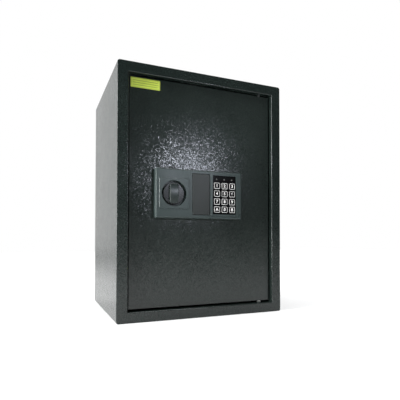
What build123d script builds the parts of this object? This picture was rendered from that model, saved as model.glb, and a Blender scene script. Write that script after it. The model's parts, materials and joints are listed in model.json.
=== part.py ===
from build123d import *

import math
import os

# Steel electronic safe: welded cabinet, recessed pivot-hung door, code lock with a rotary knob.
#
# Frame: origin at the middle of the cabinet's underside, +X right, +Y towards the back, +Z up.
# The door faces -Y.  "Depth" below always means millimetres behind the cabinet's front face.
# Stored pose: door closed, knob upright, bolts drawn back (unlocked).

# ---------------------------------------------------------------- driving dimensions (mm)
WIDTH, HEIGHT, DEPTH = 360.0, 500.0, 310.0

# fits and clearances
SNUG = 0.02                 # radial gap that stands for a drive or press fit
RUNNING = 0.06              # radial gap of a part that turns
LOOSE = 0.3                 # gap round a part that passes freely
THREAD = 0.05               # radial gap of a screw in its tapped hole
OVER = 1.0                  # how far a cut runs past the face it leaves

# cabinet
SHEET = 2.0                 # cabinet sheet thickness
CORNER_R = 5.0              # outer bend radius of the wrap
FACE_X, FACE_Z = 21.4, 20.5  # width of the visible front frame: at the sides, at top and bottom
DOORWAY_R = 1.5             # corner radius of the doorway
BEND_OUT, BEND_IN = 1.1, 1.6  # bends of the front frame: at its outer edge, into the doorway
FRAME_STUB = 12.0           # how far the front frame reaches back before it is welded to the wrap
LIP = 26.0                  # depth of the inward lip round the doorway
BACK_INSET = 2.0            # the back panel sits this far inside the rear edge
ANCHOR_R, ANCHOR_SPACING = 6.0, 180.0   # fixing holes in floor and back
BACK_ANCHOR_Z = 340.0
STOP_Z, STOP_HALF = (70.0, 430.0), 12.0  # door stop tabs: heights and half length
STOP_REACH, STOP_T = 7.0, 1.5

# door
RECESS = 10.0               # door face behind the cabinet's front face
DOOR_T = 4.0
SIDE_GAP, TOP_GAP, BOTTOM_GAP = 3.0, 3.0, 4.0
HINGE_X, HINGE_DEPTH = 135.3, 18.5
HINGE_PLATE_T, HINGE_PLATE_HALF = 4.0, 15.0
HINGE_BLOCK_HALF, HINGE_BLOCK_LONG = 9.0, 34.0
PIN_R, TIP_R = 4.0, 3.0
PIN_REACH = 8.0             # length of the pin's thin tip beyond the lip's door side
PIN_OVERLAP = 2.0           # each pin's root stops this far short of its block's far end
WASHER_T = 0.8
LABEL_X, LABEL_Z, LABEL_T = (-153.0, -94.4), (454.4, 473.5), 0.2

# box section behind the door plate
BOX_X, BOX_Z = (-146.0, 112.0), (44.0, 457.0)
BOX_BACK, BOX_SHEET, BOX_FLANGE, BOX_R = 48.0, 2.0, 12.0, 3.0
COVER_T = 1.5
COVER_SCREW_R, COVER_SCREW_HEAD_R, COVER_SCREW_LONG = 1.65, 3.6, 7.0
SCREW_HOLE_R = 2.2

# locking bolts and their carrier
BOLT_R, BOLT_DEPTH, BOLT_TIP_X = 9.0, 36.0, -150.0
BOLT_Z = (155.0, 345.0)
BOLT_THROW = 18.0
RIVET_R, RIVET_HEAD_R, RIVET_HEAD_T = 3.0, 5.0, 2.0
CARRIER_DEPTH, CARRIER_T = 22.0, 3.0
CARRIER_X, CARRIER_Z = (-112.0, -60.0), (138.0, 362.0)
EAR_HALF = 12.0             # half height of the ears that carry the bolts
TAIL_END_X, TAIL_Z = -30.5, (236.0, 268.5)
NOTCH_W, NOTCH_DEEP = 8.4, 6.0           # the plunger drops into this notch
STUD_X, STUD_Z = -92.0, (175.0, 215.0, 285.0, 325.0)
STUD_FOOT_R, STUD_R, STUD_HEAD_R, STUD_HEAD_T = 6.0, 3.0, 5.5, 2.0

# knob
KNOB_X, KNOB_Z = -69.0, 249.7
DISH_R, KNOB_R = 25.8, 22.0
KNOB_FACE, KNOB_BACK = -1.5, 1.8         # depths of the knob disc's two faces
GRIP_W, GRIP_LONG, GRIP_TOP = 18.0, 39.0, -7.0
GRIP_CROWN = 2.0            # the grip's ends stand this much lower than its middle
SPINDLE_R, SPINDLE_DEPTH = 4.0, (-0.5, 31.0)
BUSH_R, BUSH_FLANGE = 6.5, 2.5
CAM_R, CAM_T, CAM_PIN_R = 16.5, 3.0, 2.8
CAM_PIN_AT = BOLT_THROW / 2 / math.sin(math.radians(45))   # a quarter turn gives the full throw
CLIP_DEPTH, CLIP_T, GROOVE_R = 29.4, 0.8, 3.2

# lock panel
PANEL_X, PANEL_Z = (-106.3, 80.5), (200.8, 299.2)
PANEL_FACE, PANEL_WALL, PANEL_EDGE_R = -4.0, 2.5, 3.0
SQUARE = 61.0               # side of the raised square round the knob's dish
HATCH_X, HATCH_Z = (-29.8, 7.1), (208.6, 291.4)
HATCH_GAP, HATCH_T, HATCH_PROUD = 0.9, 2.0, 0.4
CLIP_LEG_T, CLIP_LEG_HALF = 1.8, 3.0     # the hatch's four snap legs
POCKET_FLOOR, FLOOR_T = 3.0, 1.5
POST_R, PANEL_SCREW_R, PANEL_SCREW_HEAD_R, PANEL_SCREW_LONG = 3.4, 1.5, 3.2, 12.0

# keypad
PAD_X, PAD_Z = (14.1, 67.5), (210.2, 291.0)
RIM_W, RIM_UP = 4.0, 1.2    # raised rim round the keypad
KEY_W, KEY_H, KEY_R = 14.0, 13.4, 2.0
KEY_PITCH_X, KEY_PITCH_Z = 17.3, 16.4
KEY_X, KEY_TOP_Z = 40.7, 269.5           # middle column, top row
KEY_FACE, PAD_FACE = -5.0, -3.0
KEY_FLANGE, KEY_FLANGE_T, STEM_R = 0.8, 0.8, 2.5
PAD_FLANGE_T, KEY_BEHIND = 1.0, 0.05      # the plate's flange, and a resting key's gap behind it
BOARD_FRONT, BOARD_T = 3.2, 1.6          # keypad board's front, and the thickness of both boards
DOME_R, DOME_T = 4.0, 0.8
STEM_GAP = 1.2              # from a key's stem to its switch dome
LED_Z, LED_R = 283.0, 1.5
LEGENDS = ("1", "2", "3", "4", "5", "6", "7", "8", "9", "a", "0", "b")
RIBBON_X, RIBBON_HALF_T = (34.0, 46.0), 0.5
RIBBON_Z = 250.0
RIBBON_HOLE_HALF, RIBBON_HOLE_R = 7.0, 4.0

# override lock
LOCK_X, LOCK_Z = -13.0, 250.0
BARREL_R, BARREL_HEAD_R, BARREL_HEAD_T, PLUG_R = 9.4, 11.5, 2.2, 6.0
NUT_R, NUT_T, TANG_R = 13.5, 5.0, 3.0
LEVER_LONG, LEVER_TIP_R, LEVER_HUB_R, LEVER_T = 20.0, 4.0, 7.0, 2.5

# solenoid
SOL_X, SOL_DEPTH, SOL_Z = -44.0, 25.7, (292.0, 332.0)
SOL_HALF, SOL_DEEP, SOL_SHEET = 12.5, 22.0, 1.5
COIL_R, CHEEK_R, CHEEK_T = 9.0, 10.0, 2.0
PLUNGER_R, PLUNGER_INSIDE = 3.5, 30.0    # radius, and how far it reaches into the coil
ARM_T, ARM_DEPTH = 1.5, (19.0, 31.0)
SPRING_WIRE_R, SPRING_COILS = 0.45, 6

# batteries and control board
CELL_R, CELL_LONG, CELL_PITCH, CELL_TIP_R, CELL_TIP = 7.2, 50.0, 15.0, 2.6, 0.6
TRAY_X, TRAY_Z, TRAY_DEPTH, TRAY_T = (24.0, 88.0), (106.0, 164.0), (29.0, BOX_BACK), 1.5
BOARD_X, BOARD_Z, BOARD_DEPTH = (28.0, 106.0), (200.0, 300.0), 20.0
FOOT_R = 3.0                # posts under the board and the battery tray
RESET_X, RESET_Z, RESET_R = 91.0, 250.0, 3.0
RESET_SWITCH_HALF, RESET_SWITCH_BACK = 4.0, 40.0
WIRE_R, WIRE_DEPTH = 1.1, 25.5
BATTERY_PLUG_X, BATTERY_PLUG_Z = (36.0, 52.0), (206.0, 213.0)
SOLENOID_PLUG_X, SOLENOID_PLUG_Z = (40.0, 56.0), (288.0, 295.0)
PLUG_T = 7.0

# inside of the cabinet
SHELF_Z, SHELF_T, SHELF_DEPTH = 250.0, 1.5, (66.0, 300.0)
SHELF_SIDE_GAP, SHELF_FRONT_FOLD, SHELF_REAR_FOLD = 4.0, 16.0, 10.0
RAIL_DEPTH, RAIL_LEDGE, RAIL_LEG, RAIL_T = (72.0, 296.0), 12.0, 18.0, 1.5
MAT_T, MAT_DEPTH, MAT_SIDE_GAP, MAT_R, MAT_HOLE_R = 2.5, (30.0, 300.0), 4.0, 6.0, 9.0

# ---------------------------------------------------------------- derived
INNER_X = WIDTH / 2 - FACE_X                     # half width of the doorway
DOORWAY_Z = (FACE_Z, HEIGHT - FACE_Z)
DOOR_X = INNER_X - SIDE_GAP
DOOR_Z = (DOORWAY_Z[0] + BOTTOM_GAP, DOORWAY_Z[1] - TOP_GAP)
DOOR_BACK = RECESS + DOOR_T
CARRIER_BACK = CARRIER_DEPTH + CARRIER_T
WALL_X = WIDTH / 2 - SHEET                       # inner face of the side walls
PANEL_BEHIND = PANEL_FACE + PANEL_WALL           # back of the panel's face wall
CUP_BACK = POCKET_FLOOR + FLOOR_T
SCREW_POST_X = (PANEL_X[0] + 8, PANEL_X[1] - 3.6)
SCREW_POST_Z = (PANEL_Z[0] + 6, PANEL_Z[1] - 6)
COVER_SCREW_X = (BOX_X[0] + 7, BOX_X[1] - 7)
COVER_SCREW_Z = (60.0, 250.0, 441.0)
ARM_Z = LOCK_Z + LEVER_LONG + LEVER_TIP_R + LOOSE  # underside of the plunger's arm, over the lever


# ---------------------------------------------------------------- helpers
def at(depth):
    """Y of a depth behind the front face."""
    return depth - DEPTH / 2


def block(x, depth, z):
    """Box from its (low, high) limits in X, depth and Z."""
    size = (x[1] - x[0], depth[1] - depth[0], z[1] - z[0])
    centre = (sum(x) / 2, at(sum(depth) / 2), sum(z) / 2)
    return Pos(*centre) * Box(*size)


def slab(outline, depth):
    """An outline drawn in X and Z, made solid between two depths."""
    plane = Plane.XZ.offset(-at(depth[1]))
    return extrude(plane * outline, depth[1] - depth[0])


def oblong(x, z, radius):
    """Rounded rectangle in X and Z."""
    return Pos(sum(x) / 2, sum(z) / 2) * RectangleRounded(x[1] - x[0], z[1] - z[0], radius)


def rod_x(x, depth, z, radius):
    return Pos(sum(x) / 2, at(depth), z) * Rot(0, 90, 0) * Cylinder(radius, x[1] - x[0])


def rod_y(x, z, radius, depth):
    return slab(Pos(x, z) * Circle(radius), depth)


def rod_z(x, depth, z, radius):
    return Pos(x, at(depth), sum(z) / 2) * Cylinder(radius, z[1] - z[0])


def grow(span, by):
    """A (low, high) span made longer at both ends."""
    return (span[0] - by, span[1] + by)


def about(centre, half):
    """The (low, high) span of a half width about its centre."""
    return (centre - half, centre + half)


def corners(xs, zs):
    return [(x, z) for x in xs for z in zs]


def front_edges(solid):
    """Edges lying on the solid's foremost plane."""
    return solid.edges().group_by(Axis.Y)[0]


def back_edges(solid):
    return solid.edges().group_by(Axis.Y)[-1]


def pipe(points, radius, bend):
    """Round wire along straight runs joined by tangent arcs."""
    path = FilletPolyline(*points, radius=bend)
    return sweep(Plane(path @ 0, z_dir=path % 0) * Circle(radius), path=path)


# ---------------------------------------------------------------- cabinet
def wrap_section():
    """Cross-section of the folded sheet that makes the sides, top and floor."""
    outer = oblong((-WIDTH / 2, WIDTH / 2), (0, HEIGHT), CORNER_R)
    return outer - oblong((-WALL_X, WALL_X), (SHEET, HEIGHT - SHEET), CORNER_R - SHEET)


def cabinet_wrap():
    wrap = slab(wrap_section(), (FRAME_STUB, DEPTH))
    for x in about(0, ANCHOR_SPACING / 2):
        wrap -= Pos(x, 0, SHEET / 2) * Cylinder(ANCHOR_R, 2 * SHEET)
    return wrap


def front_frame():
    """Front face with its outer bend, and the lip that runs back round the doorway."""
    outer = oblong((-WIDTH / 2, WIDTH / 2), (0, HEIGHT), CORNER_R)
    doorway = oblong((-INNER_X, INNER_X), DOORWAY_Z, DOORWAY_R)
    lip = oblong(about(0, INNER_X + SHEET), grow(DOORWAY_Z, SHEET), DOORWAY_R + SHEET)
    frame = slab(outer - doorway, (0, SHEET)) + slab(wrap_section(), (0, FRAME_STUB))
    frame += slab(lip - doorway, (0, LIP))

    def is_outside(edge):
        across = abs(edge.center().X) - INNER_X
        upward = abs(edge.center().Z - HEIGHT / 2) - (HEIGHT / 2 - FACE_Z)
        return max(across, upward) > FACE_Z / 2

    frame = fillet([edge for edge in front_edges(frame) if is_outside(edge)], BEND_OUT)
    frame = fillet(front_edges(frame), BEND_IN)
    for z in (DOORWAY_Z[0] - SHEET, DOORWAY_Z[1]):
        frame -= rod_z(HINGE_X, HINGE_DEPTH, grow((z, z + SHEET), OVER), TIP_R + RUNNING)
    return frame


def back_panel():
    back = DEPTH - BACK_INSET
    panel = slab(oblong((-WALL_X, WALL_X), (SHEET, HEIGHT - SHEET), CORNER_R), (back - SHEET, back))
    for x in about(0, ANCHOR_SPACING / 2):
        panel -= rod_y(x, BACK_ANCHOR_Z, ANCHOR_R, grow((back - SHEET, back), OVER))
    return panel


def hinge_plate(z):
    """Thick plate welded behind the lip, with the bearing hole for a pivot pin."""
    plate = block(about(HINGE_X, HINGE_PLATE_HALF), (SHEET, LIP), z)
    return plate - rod_z(HINGE_X, HINGE_DEPTH, grow(z, OVER), TIP_R + RUNNING)


def hinge_plates():
    low, high = DOORWAY_Z[0] - SHEET, DOORWAY_Z[1] + SHEET
    return [hinge_plate((low - HINGE_PLATE_T, low)), hinge_plate((high, high + HINGE_PLATE_T))]


def door_stop_tabs():
    """Two small tabs on the lock-side lip that the closed door plate meets."""
    tabs = []
    front = DOOR_BACK + LOOSE
    for middle in STOP_Z:
        z = about(middle, STOP_HALF)
        ledge = block((-INNER_X, -INNER_X + STOP_REACH), (front, front + SHEET), z)
        foot = block((-INNER_X, -INNER_X + STOP_T), (front, LIP - SHEET), z)
        tabs.append(ledge + foot)
    return tabs


def shelf():
    """Loose shelf with its front edge folded down and its rear edge folded up."""
    x, (front, back) = about(0, WALL_X - SHELF_SIDE_GAP), SHELF_DEPTH
    bottom = SHELF_Z - SHELF_T
    pan = block(x, SHELF_DEPTH, (bottom, SHELF_Z))
    pan += block(x, (front, front + SHELF_T), (SHELF_Z - SHELF_FRONT_FOLD, SHELF_Z))
    pan += block(x, (back - SHELF_T, back), (bottom, SHELF_Z + SHELF_REAR_FOLD))
    folds = (Vector(0, at(front), SHELF_Z), Vector(0, at(back), bottom))
    bends = [edge for edge in pan.edges().filter_by(Axis.X)
             if min((edge.center() - fold).length for fold in folds) < SHELF_T / 10]
    return fillet(bends, 0.8 * SHELF_T)


def shelf_rail(side):
    """Angle strip welded to a side wall; the shelf rests on it."""
    wall, top = side * WALL_X, SHELF_Z - SHELF_T
    ledge = sorted((wall, wall - side * RAIL_LEDGE))
    leg = sorted((wall, wall - side * RAIL_T))
    return block(ledge, RAIL_DEPTH, (top - RAIL_T, top)) + block(leg, RAIL_DEPTH, (top - RAIL_LEG, top))


def floor_mat():
    """Mat on the floor, cut away round the anchor holes."""
    z = (SHEET, SHEET + MAT_T)
    mat = block(about(0, WALL_X - MAT_SIDE_GAP), MAT_DEPTH, z)
    mat = fillet(mat.edges().filter_by(Axis.Z), MAT_R)
    for x in about(0, ANCHOR_SPACING / 2):
        mat -= rod_z(x, DEPTH / 2, grow(z, OVER), MAT_HOLE_R)
    return mat


# ---------------------------------------------------------------- door
def door_plate():
    plate = slab(oblong((-DOOR_X, DOOR_X), DOOR_Z, 1.0), (RECESS, DOOR_BACK))
    plate = fillet(front_edges(plate), 0.7)
    through = grow((RECESS, DOOR_BACK), OVER)
    plate -= rod_y(KNOB_X, KNOB_Z, BUSH_R + SNUG, through)
    plate -= rod_y(LOCK_X, LOCK_Z, BARREL_R + LOOSE, through)
    plate -= slab(oblong(grow(RIBBON_X, 2), about(RIBBON_Z, RIBBON_HOLE_HALF), RIBBON_HOLE_R), through)
    for x, z in corners(SCREW_POST_X, SCREW_POST_Z):
        plate -= rod_y(x, z, SCREW_HOLE_R, through)
    return plate


def door_box():
    """Box section welded behind the door plate: four walls with an inward flange for the cover."""
    outside = oblong(BOX_X, BOX_Z, BOX_R)
    inside = oblong(grow(BOX_X, -BOX_SHEET), grow(BOX_Z, -BOX_SHEET), BOX_R - BOX_SHEET)
    window = oblong(grow(BOX_X, -BOX_FLANGE), grow(BOX_Z, -BOX_FLANGE), BOX_SHEET)
    walls = slab(outside - inside, (DOOR_BACK, BOX_BACK))
    walls += slab(outside - window, (BOX_BACK - BOX_SHEET, BOX_BACK))
    for z in BOLT_Z:
        wall = (BOX_X[0], BOX_X[0] + BOX_SHEET)
        walls -= rod_x(grow(wall, OVER), BOLT_DEPTH, z, BOLT_R + LOOSE / 2)
    for x, z in corners(COVER_SCREW_X, COVER_SCREW_Z):
        walls -= rod_y(x, z, COVER_SCREW_R + THREAD, grow((BOX_BACK - BOX_SHEET, BOX_BACK), OVER))
    return walls


def door_inner_cover():
    """Sheet screwed over the box, with the battery window and the reset button's hole."""
    depth = (BOX_BACK, BOX_BACK + COVER_T)
    cover = slab(oblong(BOX_X, BOX_Z, BOX_R), depth)
    cover = fillet(back_edges(cover), 0.8)
    through = grow(depth, OVER)
    cover -= slab(oblong(grow(TRAY_X, 1.5), grow(TRAY_Z, 3.5), 3), through)
    cover -= rod_y(RESET_X, RESET_Z, RESET_R + 2 * LOOSE, through)
    for x, z in corners(COVER_SCREW_X, COVER_SCREW_Z):
        cover -= rod_y(x, z, SCREW_HOLE_R, through)
    return cover


def pan_screw(x, z, depth, shank_r, head_r, long):
    """Pan-head screw whose head faces the back; depth is where the head bears."""
    head_t, slot_half = 0.6 * head_r, 0.45
    head = fillet(back_edges(rod_y(x, z, head_r, (depth, depth + head_t))), 0.45 * head_r)
    slot = (depth + 0.4 * head_t, depth + head_t + OVER)
    arm = 0.5 * head_r
    cross = block(about(x, arm), slot, about(z, slot_half)) + block(about(x, slot_half), slot, about(z, arm))
    return head + rod_y(x, z, shank_r, (depth - long, depth)) - cross


def cover_screws():
    return [pan_screw(x, z, BOX_BACK + COVER_T, COVER_SCREW_R, COVER_SCREW_HEAD_R, COVER_SCREW_LONG)
            for x, z in corners(COVER_SCREW_X, COVER_SCREW_Z)]


def panel_screws():
    return [pan_screw(x, z, DOOR_BACK, PANEL_SCREW_R, PANEL_SCREW_HEAD_R, PANEL_SCREW_LONG)
            for x, z in corners(SCREW_POST_X, SCREW_POST_Z)]


def hinge_block(z):
    """Steel block welded behind the plate, holding one pivot pin."""
    body = block(about(HINGE_X, HINGE_BLOCK_HALF), (DOOR_BACK, HINGE_DEPTH + PIN_R + 3), z)
    body = chamfer(body.edges().filter_by(Axis.Z).group_by(Axis.Y)[-1], 2)
    return body - rod_z(HINGE_X, HINGE_DEPTH, grow(z, OVER), PIN_R + SNUG)


def hinge_blocks():
    low, high = DOOR_Z[0] + 1, DOOR_Z[1] - 1
    return [hinge_block((low, low + HINGE_BLOCK_LONG)), hinge_block((high - HINGE_BLOCK_LONG, high))]


def hinge_pin(shoulder, root, tip):
    """Shouldered pin: thick where the block holds it, thin where it turns in the lip."""
    pin = rod_z(HINGE_X, HINGE_DEPTH, sorted((shoulder, root)), PIN_R)
    pin += rod_z(HINGE_X, HINGE_DEPTH, sorted((shoulder, tip)), TIP_R)
    return chamfer(pin.edges().group_by(Axis.Z)[-1 if tip > root else 0], 0.8)


def lower_hinge_pin():
    root = DOOR_Z[0] + 1 + HINGE_BLOCK_LONG - PIN_OVERLAP
    return hinge_pin(DOORWAY_Z[0] + WASHER_T, root, DOORWAY_Z[0] - PIN_REACH)


def upper_hinge_pin():
    root = DOOR_Z[1] - 1 - HINGE_BLOCK_LONG + PIN_OVERLAP
    return hinge_pin(DOORWAY_Z[1] - WASHER_T, root, DOORWAY_Z[1] + PIN_REACH)


def hinge_washer():
    """Carries the door's weight on the lower lip."""
    z = (DOORWAY_Z[0], DOORWAY_Z[0] + WASHER_T)
    ring = rod_z(HINGE_X, HINGE_DEPTH, z, PIN_R + 0.6)
    return ring - rod_z(HINGE_X, HINGE_DEPTH, grow(z, OVER), TIP_R + SNUG)


def door_label():
    return slab(oblong(LABEL_X, LABEL_Z, 1.2), (RECESS - LABEL_T, RECESS))


# ---------------------------------------------------------------- lock panel
def lock_panel():
    """Moulded housing: knob dish, hatch pocket, keypad rim and four screw posts in one shell."""
    inner_x, inner_z = grow(PANEL_X, -PANEL_WALL), grow(PANEL_Z, -PANEL_WALL)
    hatch_hole_x, hatch_hole_z = grow(HATCH_X, HATCH_GAP), grow(HATCH_Z, HATCH_GAP)
    body = slab(oblong(PANEL_X, PANEL_Z, PANEL_EDGE_R), (PANEL_FACE, RECESS))
    body = fillet(front_edges(body), PANEL_EDGE_R - 0.05)
    body -= slab(oblong(inner_x, inner_z, 1), (PANEL_BEHIND, RECESS))
    # raised square round the dish, and the raised rim round the keypad
    raised = (PANEL_FACE - RIM_UP, PANEL_FACE)
    square = slab(oblong(about(KNOB_X, SQUARE / 2), about(KNOB_Z, SQUARE / 2), 2), raised)
    body += chamfer(front_edges(square), RIM_UP / 2)
    rim = slab(oblong(grow(PAD_X, RIM_W), grow(PAD_Z, RIM_W - 1), 2.5), raised)
    body += fillet(front_edges(rim), RIM_UP / 2)
    # cup for the knob and pocket for the hatch, each with a floor
    cup = (PANEL_BEHIND, CUP_BACK)
    body += rod_y(KNOB_X, KNOB_Z, DISH_R + FLOOR_T, cup)
    body += slab(oblong(grow(hatch_hole_x, FLOOR_T), grow(hatch_hole_z, FLOOR_T), 2), cup)
    pocket = (PANEL_FACE - RIM_UP - OVER, POCKET_FLOOR)
    body -= rod_y(KNOB_X, KNOB_Z, DISH_R, pocket)
    body -= slab(oblong(hatch_hole_x, hatch_hole_z, 1.2), pocket)
    through = grow((POCKET_FLOOR, CUP_BACK), OVER)
    body -= rod_y(KNOB_X, KNOB_Z, SPINDLE_R + OVER, through)
    body -= rod_y(LOCK_X, LOCK_Z, BARREL_R + SNUG, through)
    body -= slab(oblong(PAD_X, PAD_Z, 1.5), (pocket[0], PANEL_BEHIND + 0.01))
    for x, z in corners(SCREW_POST_X, SCREW_POST_Z):
        body += rod_y(x, z, POST_R, (PANEL_BEHIND, RECESS))
        body -= rod_y(x, z, PANEL_SCREW_R + SNUG, (PANEL_BEHIND + 1.5, RECESS + OVER))
    return body


def lock_hatch():
    """Snap-in cover over the override lock, with a finger notch in its lower edge."""
    front = PANEL_FACE - HATCH_PROUD
    back = front + HATCH_T
    skin = slab(oblong(HATCH_X, HATCH_Z, 0.9), (front, back))
    skin = fillet(front_edges(skin), 0.5)
    notch_half, notch_deep, notch_up = 5.0, 0.9, 1.2
    skin -= block(about(sum(HATCH_X) / 2, notch_half), (front - OVER, front + notch_deep),
                  about(HATCH_Z[0], notch_up))
    inset = 0.2
    legs_x = (HATCH_X[0] + inset, HATCH_X[1] - inset - CLIP_LEG_T)
    for x, z in corners(legs_x, grow(HATCH_Z, -8)):
        skin += block((x, x + CLIP_LEG_T), (back, POCKET_FLOOR - LOOSE), about(z, CLIP_LEG_HALF))
    return skin


# ---------------------------------------------------------------- knob and bolt work
def knob():
    """Disc with a crowned bar across it to grip."""
    disc = rod_y(KNOB_X, KNOB_Z, KNOB_R, (KNOB_FACE, KNOB_BACK))
    disc = fillet(front_edges(disc), 1.0)
    half, base, shoulder = GRIP_LONG / 2, at(KNOB_FACE + 1), at(GRIP_TOP + GRIP_CROWN)
    low, high = about(KNOB_Z, half)
    side = Polyline((shoulder, high), (base, high), (base, low), (shoulder, low))
    side += ThreePointArc((shoulder, low), (at(GRIP_TOP), KNOB_Z), (shoulder, high))
    crowned = Pos(KNOB_X, 0, 0) * extrude(Plane.YZ * make_face(side), GRIP_W, both=True)
    outline = oblong(about(KNOB_X, GRIP_W / 2), (low, high), 4.5)
    grip = crowned & slab(outline, (GRIP_TOP - OVER, KNOB_FACE + 1))
    grip = fillet(grip.faces().sort_by(Axis.Y)[0].edges(), 1.4)
    return disc + grip - rod_y(KNOB_X, KNOB_Z, SPINDLE_R + SNUG, (SPINDLE_DEPTH[0], KNOB_BACK + OVER))


def spindle_bush():
    """Flanged nylon bush in the door plate that the spindle turns in."""
    bush = rod_y(KNOB_X, KNOB_Z, BUSH_R, (RECESS - 2, DOOR_BACK))
    bush += rod_y(KNOB_X, KNOB_Z, BUSH_R + BUSH_FLANGE, (DOOR_BACK, DOOR_BACK + 2))
    return bush - rod_y(KNOB_X, KNOB_Z, SPINDLE_R + RUNNING, SPINDLE_DEPTH)


def knob_spindle():
    """Shaft with a ring groove near its inner end."""
    groove = grow((CLIP_DEPTH, CLIP_DEPTH + CLIP_T), 0.1)
    shaft = rod_y(KNOB_X, KNOB_Z, SPINDLE_R, SPINDLE_DEPTH)
    shaft = chamfer(back_edges(shaft), 0.6)
    return shaft - (rod_y(KNOB_X, KNOB_Z, SPINDLE_R + OVER, groove) - rod_y(KNOB_X, KNOB_Z, GROOVE_R, groove))


def knob_cam():
    """Disc on the spindle's inner end; its pin works in the carrier's upright slot."""
    front = CARRIER_BACK + 1
    offset = BOLT_THROW / 2
    disc = rod_y(KNOB_X, KNOB_Z, CAM_R, (front, front + CAM_T))
    disc += rod_y(KNOB_X + offset, KNOB_Z + offset, CAM_PIN_R, (CARRIER_DEPTH - 1, front))
    return disc - rod_y(KNOB_X, KNOB_Z, SPINDLE_R + SNUG, SPINDLE_DEPTH)


def spindle_clip():
    """Retaining ring in the spindle's groove, open on one side."""
    depth, mouth = (CLIP_DEPTH, CLIP_DEPTH + CLIP_T), 2.4
    ring = rod_y(KNOB_X, KNOB_Z, BUSH_R, depth)
    ring -= rod_y(KNOB_X, KNOB_Z, GROOVE_R + SNUG, grow(depth, OVER))
    return ring - block(about(KNOB_X, mouth), grow(depth, OVER), (KNOB_Z - BUSH_R - OVER, KNOB_Z))


def bolt_carrier():
    """Sliding plate with guide slots, a window for spindle and cam pin, and two riveted ears."""
    depth = (CARRIER_DEPTH, CARRIER_BACK)
    through = grow(depth, OVER)
    plate = slab(oblong(CARRIER_X, CARRIER_Z, 3), depth)
    tail_root, tail_corner = CARRIER_X[1] - 12, 2.0
    plate += slab(oblong((tail_root, TAIL_END_X), TAIL_Z, tail_corner), depth)
    notch_z = (TAIL_Z[1] - NOTCH_DEEP, TAIL_Z[1] + OVER)
    plate -= block(about(SOL_X, NOTCH_W / 2), through, notch_z)
    # window: level slot for the spindle, upright slot for the cam pin
    spindle_room, pin_room = SPINDLE_R + 1, CAM_PIN_R + 0.55
    travel = (KNOB_X, KNOB_X + BOLT_THROW)
    plate -= slab(oblong(grow(travel, spindle_room), about(KNOB_Z, spindle_room), 3), through)
    pin_z = (KNOB_Z, KNOB_Z + CAM_PIN_AT + pin_room)
    plate -= slab(oblong(about(KNOB_X + BOLT_THROW / 2, pin_room), pin_z, 1), through)
    stud_room = STUD_R + LOOSE
    for z in STUD_Z:
        slot_x = grow((STUD_X, STUD_X + BOLT_THROW), stud_room)
        plate -= slab(oblong(slot_x, about(z, stud_room), stud_room - 0.1), through)
    ear = (CARRIER_X[0], CARRIER_X[0] + CARRIER_T)
    for z in BOLT_Z:
        plate += block(ear, (CARRIER_DEPTH, BOLT_DEPTH + BOLT_R), about(z, EAR_HALF))
        plate -= rod_x(grow(ear, OVER), BOLT_DEPTH, z, RIVET_R + SNUG)
    return plate


def locking_bolt(z):
    """Round bolt riveted through the carrier's ear."""
    ear_front, ear_back = CARRIER_X[0], CARRIER_X[0] + CARRIER_T
    bar = rod_x((BOLT_TIP_X, ear_front), BOLT_DEPTH, z, BOLT_R)
    bar = fillet(bar.edges().group_by(Axis.X)[0], 2.0)
    head = rod_x((ear_back, ear_back + RIVET_HEAD_T), BOLT_DEPTH, z, RIVET_HEAD_R)
    head = fillet(head.edges().group_by(Axis.X)[-1], 0.9)
    return bar + rod_x((ear_front, ear_back), BOLT_DEPTH, z, RIVET_R) + head


def guide_studs():
    """Four shouldered studs on the door plate that the carrier slides on."""
    shoulder, head_front = CARRIER_DEPTH - LOOSE, CARRIER_BACK + LOOSE
    studs = []
    for z in STUD_Z:
        foot = rod_y(STUD_X, z, STUD_FOOT_R, (DOOR_BACK, shoulder))
        stem = rod_y(STUD_X, z, STUD_R, (shoulder, head_front))
        head = rod_y(STUD_X, z, STUD_HEAD_R, (head_front, head_front + STUD_HEAD_T))
        studs.append(foot + stem + fillet(back_edges(head), 0.8))
    return studs


# ---------------------------------------------------------------- solenoid and override lock
def solenoid_frame():
    """Strap bent into a box round the coil, screwed to the door plate."""
    x, depth = about(SOL_X, SOL_HALF), (DOOR_BACK, DOOR_BACK + SOL_DEEP)
    strap = block(x, depth, SOL_Z)
    strap -= block(grow(x, -SOL_SHEET), grow(depth, OVER), grow(SOL_Z, -SOL_SHEET))
    strap += block(x, (DOOR_BACK, DOOR_BACK + 1.2), SOL_Z)
    floor = (SOL_Z[0], SOL_Z[0] + SOL_SHEET)
    return strap - rod_z(SOL_X, SOL_DEPTH, grow(floor, OVER / 2), PLUNGER_R + LOOSE)


def solenoid_coil():
    """Wound coil between two moulded cheeks."""
    low, high = grow(SOL_Z, -SOL_SHEET)
    coil = rod_z(SOL_X, SOL_DEPTH, (low + CHEEK_T, high - CHEEK_T), COIL_R)
    for cheek in ((low, low + CHEEK_T), (high - CHEEK_T, high)):
        coil += rod_z(SOL_X, SOL_DEPTH, cheek, CHEEK_R)
    return coil - rod_z(SOL_X, SOL_DEPTH, (low - OVER, high - 2 * CHEEK_T), PLUNGER_R + 0.2)


def plunger():
    rod = rod_z(SOL_X, SOL_DEPTH, (TAIL_Z[1] + LOOSE, SOL_Z[0] + PLUNGER_INSIDE), PLUNGER_R)
    return chamfer(rod.edges().group_by(Axis.Z)[0], 0.6)


def plunger_arm():
    """Plate on the plunger: seat for its spring, and the ledge that the override lever lifts."""
    z, corner = (ARM_Z, ARM_Z + ARM_T), 2.0
    past_plunger, past_lever = 6.0, 7.0
    arm = block((SOL_X - past_plunger, LOCK_X + past_lever), ARM_DEPTH, z)
    arm = fillet(arm.edges().filter_by(Axis.Z), corner)
    return arm - rod_z(SOL_X, SOL_DEPTH, grow(z, OVER), PLUNGER_R + SNUG)


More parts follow.
